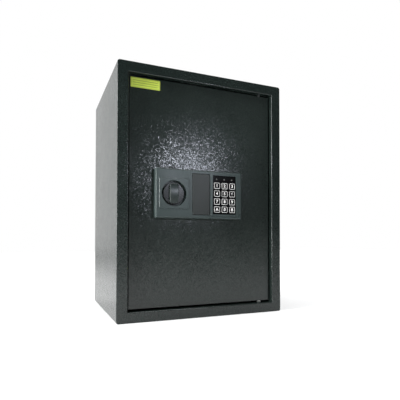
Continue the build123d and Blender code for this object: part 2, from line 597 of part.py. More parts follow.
def plunger_spring():
    low, high = ARM_Z + ARM_T + SPRING_WIRE_R, SOL_Z[0] - SPRING_WIRE_R
    path = Helix(pitch=(high - low) / SPRING_COILS, height=high - low, radius=PLUNGER_R + 1.2)
    path = Pos(SOL_X, at(SOL_DEPTH), low) * path
    return sweep(Plane(path @ 0, z_dir=path % 0) * Circle(SPRING_WIRE_R), path=path)


def override_barrel():
    """Fixed body of the override lock, its head showing at the bottom of the hatch pocket."""
    body = rod_y(LOCK_X, LOCK_Z, BARREL_R, (POCKET_FLOOR, CARRIER_BACK))
    head = rod_y(LOCK_X, LOCK_Z, BARREL_HEAD_R, (POCKET_FLOOR - BARREL_HEAD_T, POCKET_FLOOR))
    body += fillet(front_edges(head), 0.8)
    bore = grow((POCKET_FLOOR - BARREL_HEAD_T, CARRIER_BACK), OVER)
    return body - rod_y(LOCK_X, LOCK_Z, PLUG_R + RUNNING, bore)


def barrel_nut():
    depth = (DOOR_BACK, DOOR_BACK + NUT_T)
    nut = slab(Pos(LOCK_X, LOCK_Z) * RegularPolygon(NUT_R, 6), depth)
    return nut - rod_y(LOCK_X, LOCK_Z, BARREL_R + SNUG, grow(depth, OVER))


def override_plug():
    """Turning core with the keyway."""
    front, back = POCKET_FLOOR - BARREL_HEAD_T - 0.2, CARRIER_BACK + 0.4
    core = rod_y(LOCK_X, LOCK_Z, PLUG_R, (front, back))
    tang = rod_y(LOCK_X, LOCK_Z, TANG_R, (back, CARRIER_BACK + 3.0))
    keyway = block(about(LOCK_X, 0.9), (front - OVER, DOOR_BACK + 4), (LOCK_Z - 3.6, LOCK_Z + 4.2))
    return core + tang - keyway


def override_lever():
    """Lever on the core's inner end: a quarter turn lifts the plunger's arm."""
    front = CARRIER_BACK + 0.5
    depth = (front, front + LEVER_T)
    hub = Pos(LOCK_X, LOCK_Z) * Circle(LEVER_HUB_R)
    bar = Pos(LOCK_X - LEVER_LONG / 2, LOCK_Z) * Rectangle(LEVER_LONG, 2 * LEVER_TIP_R)
    tip = Pos(LOCK_X - LEVER_LONG, LOCK_Z) * Circle(LEVER_TIP_R)
    return slab(hub + bar + tip, depth) - rod_y(LOCK_X, LOCK_Z, TANG_R + SNUG, grow(depth, OVER))


# ---------------------------------------------------------------- keypad
def key_places():
    """(name, x, z) of each key, row by row from the top left."""
    for n, legend in enumerate(LEGENDS):
        column, row = n % 3, n // 3
        yield legend, KEY_X + (column - 1) * KEY_PITCH_X, KEY_TOP_Z - row * KEY_PITCH_Z


def led_places():
    return [KEY_X + column * KEY_PITCH_X for column in (-1, 0, 1)]


def key_outline(x, z, margin):
    """A key's outline, made larger by a margin all round."""
    return oblong(about(x, KEY_W / 2 + margin), about(z, KEY_H / 2 + margin), KEY_R)


def keypad_plate():
    """Black face plate with key holes; its flange sits behind the panel's wall."""
    flange = (PANEL_BEHIND, PANEL_BEHIND + PAD_FLANGE_T)
    plate = slab(oblong(grow(PAD_X, -0.1), grow(PAD_Z, -0.1), 1.4), (PAD_FACE, PANEL_BEHIND))
    plate += slab(oblong(grow(PAD_X, 2), grow(PAD_Z, 2), 1), flange)
    through = grow((PAD_FACE, flange[1]), OVER)
    for _, x, z in key_places():
        plate -= slab(key_outline(x, z, LOOSE), through)
    for x in led_places():
        plate -= rod_y(x, LED_Z, LED_R + SNUG, through)
    for x, z in corners(PAD_X, PAD_Z):
        plate += rod_y(x, z, 1.5, (flange[1], BOARD_FRONT))
    return plate


def key_cap(x, z):
    """Key with a softened face, a retaining flange and a stem over its switch."""
    flange_front = PANEL_BEHIND + PAD_FLANGE_T + KEY_BEHIND
    flange_back = flange_front + KEY_FLANGE_T
    cap = fillet(front_edges(slab(key_outline(x, z, 0), (KEY_FACE, flange_front))), 0.5)
    cap += slab(key_outline(x, z, KEY_FLANGE), (flange_front, flange_back))
    return cap + rod_y(x, z, STEM_R, (flange_back, BOARD_FRONT - DOME_T - STEM_GAP))


def led_lenses():
    lenses = [rod_y(x, LED_Z, LED_R, (PAD_FACE - 0.4, BOARD_FRONT)) for x in led_places()]
    return [fillet(front_edges(lens), 0.5) for lens in lenses]


def keypad_board():
    """Circuit board behind the keys, with a switch dome under each."""
    board = block(grow(PAD_X, 2), (BOARD_FRONT, BOARD_FRONT + BOARD_T), grow(PAD_Z, 2))
    for _, x, z in key_places():
        board += rod_y(x, z, DOME_R, (BOARD_FRONT - DOME_T, BOARD_FRONT))
    return board


def keypad_ribbon():
    """Flat cable from the keypad board through the door plate to the control board."""
    return block(RIBBON_X, (BOARD_FRONT + BOARD_T, BOARD_DEPTH), about(RIBBON_Z, RIBBON_HALF_T))


# ---------------------------------------------------------------- electronics inside the door
def control_board():
    """Board on four posts, with its chips, plugs, buzzer, capacitor and the reset switch."""
    back = BOARD_DEPTH + BOARD_T
    chips = (((40, 58), (262, 274), 2.5), ((64, 74), (262, 272), 1.8))
    rounds = ((72, 218, 6, 7), (88, 284, 4, 11))
    plugs = ((BATTERY_PLUG_X, BATTERY_PLUG_Z), (SOLENOID_PLUG_X, SOLENOID_PLUG_Z))
    board = block(BOARD_X, (BOARD_DEPTH, back), BOARD_Z)
    for x, z in corners(grow(BOARD_X, -5), grow(BOARD_Z, -5)):
        board += rod_y(x, z, FOOT_R, (DOOR_BACK, BOARD_DEPTH))
    for x, z, tall in chips:
        board += block(x, (back, back + tall), z)
    for x, z in plugs:
        board += block(x, (back, back + PLUG_T), z)
    for x, z, radius, tall in rounds:
        board += rod_y(x, z, radius, (back, back + tall))
    switch_x, switch_z = about(RESET_X, RESET_SWITCH_HALF), about(RESET_Z, RESET_SWITCH_HALF)
    return board + block(switch_x, (back, RESET_SWITCH_BACK), switch_z)


def reset_button():
    cap = rod_y(RESET_X, RESET_Z, RESET_R, (RESET_SWITCH_BACK + 2, BOX_BACK + COVER_T + 1.2))
    return fillet(back_edges(cap), 0.8)


def battery_tray():
    """Open tray on four feet."""
    front, back = TRAY_DEPTH
    tray = slab(oblong(TRAY_X, TRAY_Z, 2), TRAY_DEPTH)
    tray -= slab(oblong(grow(TRAY_X, -TRAY_T), grow(TRAY_Z, -TRAY_T), 1), (front + TRAY_T, back + OVER))
    for x, z in corners(grow(TRAY_X, -6), grow(TRAY_Z, -6)):
        tray += rod_y(x, z, FOOT_R, (DOOR_BACK, front))
    return tray


def cells():
    """Four AA cells side by side, alternating."""
    middle_x, middle_z = sum(TRAY_X) / 2, sum(TRAY_Z) / 2
    depth = TRAY_DEPTH[0] + TRAY_T + CELL_R + 0.1
    made = []
    for n in range(4):
        x = middle_x + (n - 1.5) * CELL_PITCH
        can = rod_z(x, depth, about(middle_z, CELL_LONG / 2 - CELL_TIP), CELL_R)
        can = fillet(can.edges(), CELL_TIP)
        end = middle_z + (CELL_LONG / 2 if n % 2 else -CELL_LONG / 2)
        made.append(can + rod_z(x, depth, about(end, CELL_TIP), CELL_TIP_R))
    return made


def battery_lid():
    """Snap lid in the cover's window, with a thumb latch and three grip ribs."""
    front, back = BOX_BACK + 0.1, BOX_BACK + COVER_T + 0.8
    lid = slab(oblong(grow(TRAY_X, 1.0), grow(TRAY_Z, 3.0), 2.5), (front, back))
    lid = fillet(back_edges(lid), 0.6)
    middle, latch_r, rib_half = sum(TRAY_X) / 2, 2.2, 16
    lid -= rod_x(about(middle, 9), back + 1.2, TRAY_Z[1] - 4, latch_r)
    for n in range(3):
        z = TRAY_Z[0] + 6 + 8 * n
        lid += block(about(middle, rib_half), (back, back + 0.5), (z, z + 1.6))
    return lid


def wire_pair(points, bend, apart):
    """Two equal wires side by side, the route running between them."""
    wire = pipe(points, WIRE_R, bend)
    return [Pos(x, 0, 0) * wire for x in about(0, apart / 2)]


def battery_leads():
    start_x, plug_x = 41.6, sum(BATTERY_PLUG_X) / 2
    return wire_pair([(start_x, at(36), TRAY_Z[1]), (start_x, at(36), 178), (plug_x, at(WIRE_DEPTH), 194),
                      (plug_x, at(WIRE_DEPTH), BATTERY_PLUG_Z[0])], bend=8.0, apart=3.2)


def solenoid_leads():
    """From the top of the solenoid, up and over to the control board's plug."""
    plug_x = sum(SOLENOID_PLUG_X) / 2
    return wire_pair([(SOL_X, at(SOL_DEPTH), SOL_Z[1]), (SOL_X, at(SOL_DEPTH), 348), (-14, at(31), 361),
                      (34, at(31), 352), (plug_x, at(WIRE_DEPTH), 324),
                      (plug_x, at(WIRE_DEPTH), SOLENOID_PLUG_Z[1])], bend=9.0, apart=3.2)


# ---------------------------------------------------------------- every node
def nodes():
    """Each node's name with its solid, or its list of separate solids."""
    makers = (cabinet_wrap, front_frame, back_panel, hinge_plates, door_stop_tabs, shelf, floor_mat,
              door_plate, door_box, door_inner_cover, cover_screws, hinge_blocks, lower_hinge_pin,
              upper_hinge_pin, hinge_washer, door_label, lock_panel, panel_screws, lock_hatch, knob,
              spindle_bush, knob_spindle, knob_cam, spindle_clip, bolt_carrier, guide_studs,
              solenoid_frame, solenoid_coil, plunger, plunger_arm, plunger_spring, solenoid_leads,
              override_barrel, barrel_nut, override_plug, override_lever, keypad_plate, keypad_board,
              keypad_ribbon, led_lenses, control_board, reset_button, battery_tray, cells, battery_lid,
              battery_leads)
    made = {maker.__name__: maker() for maker in makers}
    made["shelf_rails"] = [shelf_rail(side) for side in (-1, 1)]
    made["locking_bolts"] = [locking_bolt(z) for z in BOLT_Z]
    for legend, x, z in key_places():
        made[f"key_{legend}"] = key_cap(x, z)
    return made


def main():
    os.makedirs("parts", exist_ok=True)
    for name, shape in nodes().items():
        if isinstance(shape, list):
            shape = Compound(children=shape)
        export_step(shape, f"parts/{name}.step")


main()
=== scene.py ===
"""Looks for the electronic safe: materials, key legends, weld seams, carpet, camera and light.

Everything is in metres in the part's own frame: +X right, +Y towards the back, +Z up, door facing -Y.
"""
import json
import math
import random

import bmesh
import bpy
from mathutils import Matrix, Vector


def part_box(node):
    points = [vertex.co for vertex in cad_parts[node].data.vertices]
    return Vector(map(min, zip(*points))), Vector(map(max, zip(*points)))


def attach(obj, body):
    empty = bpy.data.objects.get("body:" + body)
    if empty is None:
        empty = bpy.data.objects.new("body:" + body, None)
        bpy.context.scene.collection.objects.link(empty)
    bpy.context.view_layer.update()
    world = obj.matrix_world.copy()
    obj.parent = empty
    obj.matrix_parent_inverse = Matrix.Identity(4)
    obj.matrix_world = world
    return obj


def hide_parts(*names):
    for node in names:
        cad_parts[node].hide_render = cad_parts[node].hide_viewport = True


MM = 0.001
CAMERA_AT = Vector((-311.6, -903.1, 159.1)) * MM
CAMERA_YAW, CAMERA_PITCH = 23.72, 1.33      # degrees, towards +X from +Y, and upwards
CAMERA_LENS = 35.6                          # mm on a 36 mm sensor
CAMERA_SHIFT = (-0.0332, 0.0749)

RING_WIDE, RING_TALL, RING_R, RING_LINE = 12.8 * MM, 12.2 * MM, 1.9 * MM, 0.70 * MM
LEGEND_SIZE, LEGEND_BOLD, LEGEND_PROUD = 8.6 * MM, 0.20 * MM, 0.03 * MM
MATT_IOR = 1.16                             # the keypad reflects less than the mouldings round it
BOARD_THICK = 1.6 * MM
GRIP_STANDS = 5.5 * MM                      # the knob's grip, in front of its disc
BOARD_BEHIND = 6.8 * MM                     # from the feet of the control board's posts to its middle
DIGITS = ("1", "2", "3", "4", "5", "6", "7", "8", "9", "a", "0", "b")

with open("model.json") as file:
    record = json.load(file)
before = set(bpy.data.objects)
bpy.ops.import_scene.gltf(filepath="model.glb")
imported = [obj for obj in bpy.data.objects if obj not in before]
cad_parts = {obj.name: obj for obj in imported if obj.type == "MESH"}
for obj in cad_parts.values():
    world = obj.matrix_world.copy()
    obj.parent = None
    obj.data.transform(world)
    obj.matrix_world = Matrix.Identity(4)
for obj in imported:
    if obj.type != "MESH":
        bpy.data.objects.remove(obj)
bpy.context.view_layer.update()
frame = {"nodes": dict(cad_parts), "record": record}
nodes = frame["nodes"]


# ---------------------------------------------------------------- camera
def make_camera():
    data = bpy.data.cameras.new("camera")
    data.lens = CAMERA_LENS
    data.sensor_width = 36.0
    data.shift_x, data.shift_y = CAMERA_SHIFT
    data.clip_start = 0.01
    camera = bpy.data.objects.new("camera", data)
    camera.location = CAMERA_AT
    camera.rotation_euler = (math.radians(90 + CAMERA_PITCH), 0, -math.radians(CAMERA_YAW))
    bpy.context.scene.collection.objects.link(camera)
    bpy.context.scene.camera = camera


# ---------------------------------------------------------------- node helpers
class Shader:
    """A material under construction: short calls that add and join nodes."""

    def __init__(self, name):
        self.material = bpy.data.materials.new(name)
        self.material.use_nodes = True
        self.tree = self.material.node_tree
        self.bsdf = self.tree.nodes["Principled BSDF"]
        self.place = self.tree.nodes.new("ShaderNodeTexCoord").outputs["Object"]

    def join(self, source, socket):
        self.tree.links.new(source, socket)

    def node(self, kind, inputs=None, **settings):
        made = self.tree.nodes.new(kind)
        for key, value in settings.items():
            setattr(made, key, value)
        for key, value in (inputs or {}).items():
            if isinstance(value, bpy.types.NodeSocket):
                self.join(value, made.inputs[key])
            else:
                made.inputs[key].default_value = value
        return made

    def stretched(self, scale):
        """The object's own coordinates, scaled per axis."""
        return self.node("ShaderNodeMapping", {"Vector": self.place, "Scale": scale}).outputs["Vector"]

    def noise(self, scale, detail=2.0, rough=0.5, place=None):
        made = self.node("ShaderNodeTexNoise", {"Vector": place or self.place, "Scale": scale,
                                                "Detail": detail, "Roughness": rough})
        return made.outputs["Fac"]

    def cells(self, scale, smooth=0.6):
        made = self.node("ShaderNodeTexVoronoi", {"Vector": self.place, "Scale": scale,
                                                  "Smoothness": smooth}, feature="SMOOTH_F1")
        return made.outputs["Distance"]

    def math(self, operation, a, b=0.0, clamp=False):
        made = self.node("ShaderNodeMath", {0: a, 1: b}, operation=operation, use_clamp=clamp)
        return made.outputs[0]

    def span(self, value, low, high, out_low, out_high):
        made = self.node("ShaderNodeMapRange", {"Value": value, "From Min": low, "From Max": high,
                                                "To Min": out_low, "To Max": out_high})
        return made.outputs["Result"]

    def mix(self, fac, a, b):
        made = self.node("ShaderNodeMix", data_type="RGBA")
        for key, value in ((0, fac), (6, a), (7, b)):
            if isinstance(value, bpy.types.NodeSocket):
                self.join(value, made.inputs[key])
            else:
                made.inputs[key].default_value = value if key == 0 else (*value[:3], 1.0)
        return made.outputs[2]

    def axis(self, name):
        return self.node("ShaderNodeSeparateXYZ", {0: self.place}).outputs[name]

    def colour(self, value):
        if isinstance(value, bpy.types.NodeSocket):
            self.join(value, self.bsdf.inputs["Base Color"])
        else:
            self.bsdf.inputs["Base Color"].default_value = (*value, 1.0)

    def rough(self, value):
        if isinstance(value, bpy.types.NodeSocket):
            self.join(value, self.bsdf.inputs["Roughness"])
        else:
            self.bsdf.inputs["Roughness"].default_value = value

    def bump(self, layers):
        """Bumps in turn: (height, depth in metres) from the coarsest to the finest."""
        normal = None
        for height, depth in layers:
            made = self.node("ShaderNodeBump", {"Height": height, "Strength": 1.0, "Distance": depth})
            if normal is not None:
                self.join(normal, made.inputs["Normal"])
            normal = made.outputs["Normal"]
        self.join(normal, self.bsdf.inputs["Normal"])

    def tilted_grains(self, scale, tilt):
        """A small random lean for each grain of the coat, as a vector to add to the normal."""
        grains = self.node("ShaderNodeTexVoronoi", {"Vector": self.place, "Scale": scale})
        centred = self.node("ShaderNodeVectorMath", {0: grains.outputs["Color"], 1: (0.5, 0.5, 0.5)},
                            operation="SUBTRACT")
        leant = self.node("ShaderNodeVectorMath", {0: centred.outputs["Vector"], "Scale": tilt},
                          operation="SCALE")
        return leant.outputs["Vector"]

    def lean(self, *offsets):
        """Adds small vectors to the bumped normal."""
        normal = self.bsdf.inputs["Normal"].links[0].from_socket
        for offset in offsets:
            added = self.node("ShaderNodeVectorMath", {0: normal, 1: offset}, operation="ADD")
            normal = added.outputs["Vector"]
        unit = self.node("ShaderNodeVectorMath", {0: normal}, operation="NORMALIZE")
        self.join(unit.outputs["Vector"], self.bsdf.inputs["Normal"])

    def set(self, **values):
        for key, value in values.items():
            self.bsdf.inputs[key.replace("_", " ")].default_value = value


# ---------------------------------------------------------------- materials
def powder_coat(name, dark, light):
    """Baked textured coat: fine grains that each lean a little at random, faint clouding, and painted shade
    darkening the coat between the grains.
    """
    s = Shader(name)
    pebbles, grain = s.cells(430.0, 0.35), s.noise(1150.0, 2.0, 0.6)
    clouds, wide = s.noise(9.0, 3.0), s.noise(55.0, 2.0)
    tone = s.mix(s.span(clouds, 0.35, 0.65, 0.0, 1.0), dark, light)
    # painted shade: the coat is painted up to 0.62 times darker in the network between the grains
    s.colour(s.mix(s.span(pebbles, 0.15, 0.65, 0.0, 0.6), tone, [c * 0.62 for c in dark]))
    s.rough(s.span(s.math("ADD", clouds, s.math("MULTIPLY", wide, 0.6)), 0.55, 1.05, 0.16, 0.21))
    s.bump([(wide, 0.02 * MM), (pebbles, 0.03 * MM), (grain, 0.006 * MM)])
    s.lean(s.tilted_grains(640.0, 0.105), s.tilted_grains(1150.0, 0.085))
    s.set(IOR=1.52)
    return s.material


def moulded(name, dark, light, rough, grain_depth=0.03, ior=1.40):
    """Spark-eroded mould grain with slight shine differences."""
    s = Shader(name)
    clouds, grain = s.noise(22.0, 3.0), s.noise(1900.0, 2.0, 0.6)
    s.colour(s.mix(s.span(clouds, 0.3, 0.7, 0.0, 1.0), dark, light))
    s.rough(s.span(clouds, 0.3, 0.7, rough - 0.04, rough + 0.06))
    s.bump([(s.noise(70.0, 1.0), 0.03 * MM), (grain, grain_depth * MM)])
    s.set(IOR=ior)
    return s.material


def knob_moulding_painted_light(name, face_y):
    """Dark moulding with painted light: the grip, everything in front of face_y, is painted paler than the
    disc, standing in for the light the grip catches and the shade in the dish round the disc.
    """
    s = Shader(name)
    clouds, grain = s.noise(22.0, 3.0), s.noise(1900.0, 2.0, 0.6)
    # painted light: one plastic in a dark copy for the shaded, recessed disc and a pale copy for the lit grip
    disc = s.mix(clouds, (0.005, 0.007, 0.0065), (0.009, 0.011, 0.0105))
    grip = s.mix(clouds, (0.016, 0.023, 0.022), (0.022, 0.031, 0.029))
    # painted light share: 1 on the grip, which stands forward into the light, 0 on the disc in the dish's
    # shade
    painted_light_share = s.span(s.axis("Y"), face_y - 0.6 * MM, face_y - 0.1 * MM, 1.0, 0.0)
    s.colour(s.mix(painted_light_share, disc, grip))
    s.rough(s.span(clouds, 0.3, 0.7, 0.20, 0.30))
    s.bump([(s.noise(70.0, 1.0), 0.02 * MM), (grain, 0.01 * MM)])
    s.set(IOR=1.42)
    return s.material


def plated_steel(name, tint, rough, lay):
    """Rolled or turned steel under thin plating; lay stretches the scratches along an axis."""
    s = Shader(name)
    scratches = s.noise(60.0, 4.0, 0.7, s.stretched(lay))
    clouds = s.noise(30.0, 3.0)
    dulled = [channel * share for channel, share in zip(tint, (0.8, 0.83, 0.9))]
    s.colour(s.mix(s.span(clouds, 0.35, 0.65, 0.0, 1.0), tint, dulled))
    s.rough(s.span(scratches, 0.3, 0.7, rough - 0.07, rough + 0.12))
    s.bump([(scratches, 0.02 * MM)])
    s.set(Metallic=1.0)
    return s.material


def wound_wire(name):
    """Turns of lacquered wire, one above the other, with painted shade darkening the grooves between the
    turns.
    """
    s = Shader(name)
    turns = s.node("ShaderNodeTexWave", {"Vector": s.place, "Scale": 330.0, "Distortion": 0.15,
                                         "Detail": 1.0}, bands_direction="Z").outputs["Fac"]
    # painted shade: the copper is painted dark in the grooves between turns, where the bump is lowest
    s.colour(s.mix(turns, (0.16, 0.05, 0.02), (0.62, 0.27, 0.11)))
    s.rough(s.span(turns, 0.0, 1.0, 0.5, 0.25))
    s.bump([(turns, 0.15 * MM)])
    s.set(Metallic=0.8)
    return s.material


def circuit_board(name, middle_y):
    """Green laminate with faint tracks, about the plane middle_y; whatever stands off it is dark moulding."""
    s = Shader(name)
    tracks = s.node("ShaderNodeTexBrick", {"Vector": s.stretched((1.0, 1.0, 0.6)), "Scale": 260.0,
                                           "Mortar Size": 0.10}).outputs["Fac"]
    board = s.mix(tracks, (0.010, 0.085, 0.035), (0.030, 0.17, 0.075))
    part = s.mix(s.noise(400.0), (0.012, 0.012, 0.013), (0.030, 0.030, 0.032))
    away = s.math("ABSOLUTE", s.math("SUBTRACT", s.axis("Y"), middle_y))
    raised = s.span(away, 0.52 * BOARD_THICK, 0.56 * BOARD_THICK, 0.0, 1.0)
    s.colour(s.mix(raised, board, part))
    s.rough(s.span(raised, 0.0, 1.0, 0.3, 0.5))
    s.bump([(tracks, 0.03 * MM)])
    return s.material


def cell_sleeve(name, cells):
    """Dark sleeve with a bright band at one end; the metal ends show."""
    s = Shader(name)
    low, high = cells
    middle, ends_at, band_at = (low.z + high.z) / 2, 24.0 * MM, 11.0 * MM
    reach = s.math("ABSOLUTE", s.math("SUBTRACT", s.axis("Z"), middle))
    ends = s.math("GREATER_THAN", reach, ends_at)
    band = s.math("GREATER_THAN", s.axis("Z"), middle + band_at)
    sleeve = s.mix(band, (0.018, 0.020, 0.025), (0.55, 0.30, 0.06))
    s.colour(s.mix(ends, sleeve, (0.62, 0.62, 0.60)))
    s.join(ends, s.bsdf.inputs["Metallic"])
    s.rough(s.span(s.noise(35.0), 0.3, 0.7, 0.20, 0.32))
    s.bump([(s.noise(120.0, 2.0), 0.02 * MM)])
    return s.material


def ruled_label(name, label):
    """Blank write-on sticker: a thin border and three ruled lines."""
    s = Shader(name)
    low, high = label
    x, z = s.axis("X"), s.axis("Z")
    inset, line = 1.3 * MM, 0.35 * MM

    def edge(value, a, b):
        return s.math("MINIMUM", s.math("SUBTRACT", value, a + inset), s.math("SUBTRACT", b - inset, value))

    inside = s.math("MINIMUM", edge(x, low.x, high.x), edge(z, low.z, high.z))
    ink = s.math("LESS_THAN", s.math("ABSOLUTE", inside), line / 2)
    for share in (0.27, 0.50, 0.73):
        at = low.z + share * (high.z - low.z)
        on_line = s.math("LESS_THAN", s.math("ABSOLUTE", s.math("SUBTRACT", z, at)), line)
        within = s.math("GREATER_THAN", edge(x, low.x, high.x), 3.0 * MM)
        ink = s.math("MAXIMUM", ink, s.math("MULTIPLY", on_line, within))
    paper = s.mix(s.span(s.noise(40.0, 3.0), 0.3, 0.7, 0.0, 1.0), (0.52, 0.66, 0.075), (0.61, 0.74, 0.105))
    s.colour(s.mix(ink, paper, (0.10, 0.12, 0.05)))
    s.rough(s.span(s.noise(25.0), 0.3, 0.7, 0.34, 0.46))
    s.bump([(s.noise(180.0, 2.0), 0.015 * MM)])
    return s.material


def printed_white(name):
    s = Shader(name)
    s.colour(s.mix(s.noise(500.0, 2.0), (0.90, 0.90, 0.88), (0.97, 0.97, 0.95)))
    s.rough(0.5)
    s.bump([(s.noise(1500.0), 0.01 * MM)])
    return s.material


def pile_carpet(name):
    s = Shader(name)
    tufts, fibres = s.noise(260.0, 3.0, 0.7), s.noise(1400.0, 3.0, 0.7)
    blotches = s.span(s.noise(18.0, 2.0), 0.3, 0.7, 0.0, 1.0)
    tone = s.mix(blotches, (0.022, 0.023, 0.025), (0.040, 0.041, 0.044))
    s.colour(s.mix(s.span(fibres, 0.35, 0.7, 0.0, 1.0), tone, (0.075, 0.076, 0.080)))
    s.rough(0.95)
    s.bump([(tufts, 0.8 * MM), (fibres, 0.4 * MM)])
    s.set(Sheen_Weight=0.35, Sheen_Roughness=0.6)
    return s.material


def lamp_lens(name):
    s = Shader(name)
    s.colour(s.mix(s.noise(300.0), (0.10, 0.105, 0.10), (0.16, 0.165, 0.155)))
    s.rough(s.span(s.noise(200.0), 0.3, 0.7, 0.12, 0.2))
    s.bump([(s.noise(900.0), 0.01 * MM)])
    return s.material


def weld_metal(name, tone):
    """Weld ripples under the coat."""
    s = Shader(name)
    ripples = s.noise(420.0, 3.0, 0.6)
    s.colour(s.mix(ripples, tone, [c * 1.5 for c in tone]))
    s.rough(s.span(ripples, 0.3, 0.7, 0.30, 0.42))
    s.bump([(ripples, 0.25 * MM)])
    return s.material


def dress(names, material):
    for name in names:
        data = nodes[name].data
        data.materials.clear()
        data.materials.append(material)


def dress_nodes():
    cabinet_coat = powder_coat("cabinet_coat", (0.012, 0.0185, 0.0165), (0.017, 0.0245, 0.0220))
    door_coat = powder_coat("door_coat", (0.0165, 0.0230, 0.0205), (0.0220, 0.0300, 0.0270))
    zinc = plated_steel("zinc", (0.62, 0.63, 0.60), 0.34, (1.0, 1.0, 0.05))
    nickel = plated_steel("nickel", (0.72, 0.72, 0.71), 0.16, (0.05, 1.0, 1.0))
    brass = plated_steel("brass_metal", (0.70, 0.52, 0.25), 0.28, (1.0, 0.05, 1.0))
    by_slot = {
        "cabinet_paint": cabinet_coat,
        "door_paint": door_coat,
        "zinc_steel": zinc,
        "bolt_chrome": nickel,
        "brass": brass,
        "panel_plastic": moulded("panel_moulding", (0.031, 0.045, 0.043), (0.038, 0.054, 0.052), 0.30),
        "hatch_plastic": moulded("hatch_moulding", (0.018, 0.022, 0.020), (0.023, 0.027, 0.025), 0.36),
        "knob_plastic": knob_moulding_painted_light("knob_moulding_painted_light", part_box("knob")[0].y + GRIP_STANDS),
        "keypad_plastic": moulded("keypad_face", [0.002] * 3, [0.004] * 3, 0.24, 0.006, MATT_IOR),
        "key_rubber": moulded("key_moulding", [0.003] * 3, [0.006] * 3, 0.34, 0.01, MATT_IOR),
        "black_moulding": moulded("black_moulding", (0.014, 0.014, 0.015), (0.022, 0.022, 0.023), 0.40),
        "nylon": moulded("nylon_moulding", (0.62, 0.61, 0.56), (0.70, 0.69, 0.64), 0.40),
        "red_cap": moulded("red_moulding", (0.42, 0.02, 0.02), (0.55, 0.035, 0.03), 0.32),
        "red_wire": moulded("wire_sleeve", (0.36, 0.02, 0.02), (0.46, 0.03, 0.03), 0.38, 0.01),
        "ribbon_grey": moulded("ribbon_sleeve", (0.34, 0.35, 0.36), (0.42, 0.43, 0.44), 0.45, 0.01),
        "copper_coil": wound_wire("coil_wire"),
        "cell_wrap": cell_sleeve("cell_sleeve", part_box("cells")),
        "label_film": ruled_label("label_print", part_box("door_label")),
        "led_lens": lamp_lens("led_moulding"),
        "carpet": pile_carpet("carpet_pile"),
    }
    for part in frame["record"]["subparts"]:
        if part["material_slot"] in by_slot:
            dress([part["node"]], by_slot[part["material_slot"]])
    for name in ("control_board", "keypad_board"):
        low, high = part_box(name)
        middle = low.y + (BOARD_BEHIND if name == "control_board" else high.y - low.y - BOARD_THICK / 2)
        dress([name], circuit_board(name + "_print", middle))
    return by_slot


# ---------------------------------------------------------------- pieces
def new_object(name, data, material, body):
    piece = bpy.data.objects.new(name, data)
    bpy.context.scene.collection.objects.link(piece)
    data.materials.append(material)
    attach(piece, body)
    return piece


def rounded_outline(width, height, radius, steps=6):
    """Corner points of a rounded rectangle about the origin, anticlockwise."""
    points = []
    for corner, (sx, sz) in enumerate(((1, 1), (-1, 1), (-1, -1), (1, -1))):
        for step in range(steps + 1):
            angle = math.radians(90 * (corner + step / steps))
            points.append((sx * (width / 2 - radius) + radius * math.cos(angle),
                           sz * (height / 2 - radius) + radius * math.sin(angle)))
    return points


def printed_ring(name, centre, front, width, height, radius, line):
    """A thin raised printed outline on a key's face."""
    thick = 0.04 * MM
    mesh = bpy.data.meshes.new(name)
    outer = rounded_outline(width, height, radius)
    inner = rounded_outline(width - 2 * line, height - 2 * line, radius - line)
    count = len(outer)
    verts = [(centre.x + x, y, centre.z + z) for y in (front - thick, front + thick)
             for ring in (outer, inner) for x, z in ring]
    faces = []
    for n in range(count):
        m = (n + 1) % count
        faces.append((n, n + count, m + count, m))
        faces.append((n + 2 * count, m + 2 * count, m + 3 * count, n + 3 * count))
        faces.append((n, m, m + 2 * count, n + 2 * count))
        faces.append((n + count, n + 3 * count, m + 3 * count, m + count))
    mesh.from_pydata(verts, [], faces)
    mesh.update()
    return mesh


def key_legends(ink):
    """White outline and character on each key."""
    for legend in DIGITS:
        body = f"key_{legend}"
        low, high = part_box(body)
        centre = (low + high) / 2
        ring = printed_ring(f"{body}_outline", centre, low.y, RING_WIDE, RING_TALL, RING_R, RING_LINE)
        new_object(f"{body}_outline", ring, ink, body)
        text = bpy.data.curves.new(f"{body}_legend", "FONT")
        text.body = legend.upper()
        text.size = LEGEND_SIZE
        text.align_x, text.align_y = "CENTER", "CENTER"
        text.extrude = LEGEND_PROUD
        text.offset = LEGEND_BOLD
        piece = bpy.data.objects.new(f"{body}_legend", text)
        piece.location = (centre.x, low.y, centre.z)
        piece.rotation_euler = (math.radians(90), 0, 0)
        bpy.context.scene.collection.objects.link(piece)
        text.materials.append(ink)
        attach(piece, body)


def stitch(mesh, start, end, first, second, leg, chance):
    """One short weld in the corner where the directions first and second meet, running from start to end."""
    along = end - start
    rings, arc, ripple = max(10, int(along.length / (0.5 * MM))), 6, 2.4 * MM
    previous = None
    for n in range(rings + 1):
        share = n / rings
        taper = min(1.0, 6 * min(share, 1 - share) + 0.25)
        ring = [mesh.verts.new(start + along * share)]
        for step in range(arc + 1):
            angle = math.radians(90 * step / arc)
            bulge = math.sin(2 * angle)
            phase = (along.length * share - 0.9 * MM * bulge) / ripple
            wave = 0.88 + 0.12 * abs(math.sin(math.pi * phase)) + chance.uniform(-0.02, 0.02)
            reach = leg * taper * wave * (1 - 0.2 * bulge)
            spread = math.cos(angle) * first + math.sin(angle) * second
            ring.append(mesh.verts.new(start + along * share + reach * spread))
        if previous:
            for k in range(len(ring)):
                m = (k + 1) % len(ring)
                mesh.faces.new((previous[k], previous[m], ring[m], ring[k]))
        else:
            mesh.faces.new(ring)
        previous = ring
    mesh.faces.new(reversed(previous))


def stitches(mesh, start, end, first, second, leg, chance, long=24 * MM, pitch=80 * MM):
    """Evenly spaced stitches along one corner line."""
    run = end - start
    count = max(1, int(run.length / pitch))
    for n in range(count):
        middle = (n + 0.5) / count + chance.uniform(-0.01, 0.01)
        half = min(long, 0.8 * run.length) / 2 / run.length
        stitch(mesh, start + run * (middle - half), start + run * (middle + half), first, second, leg, chance)


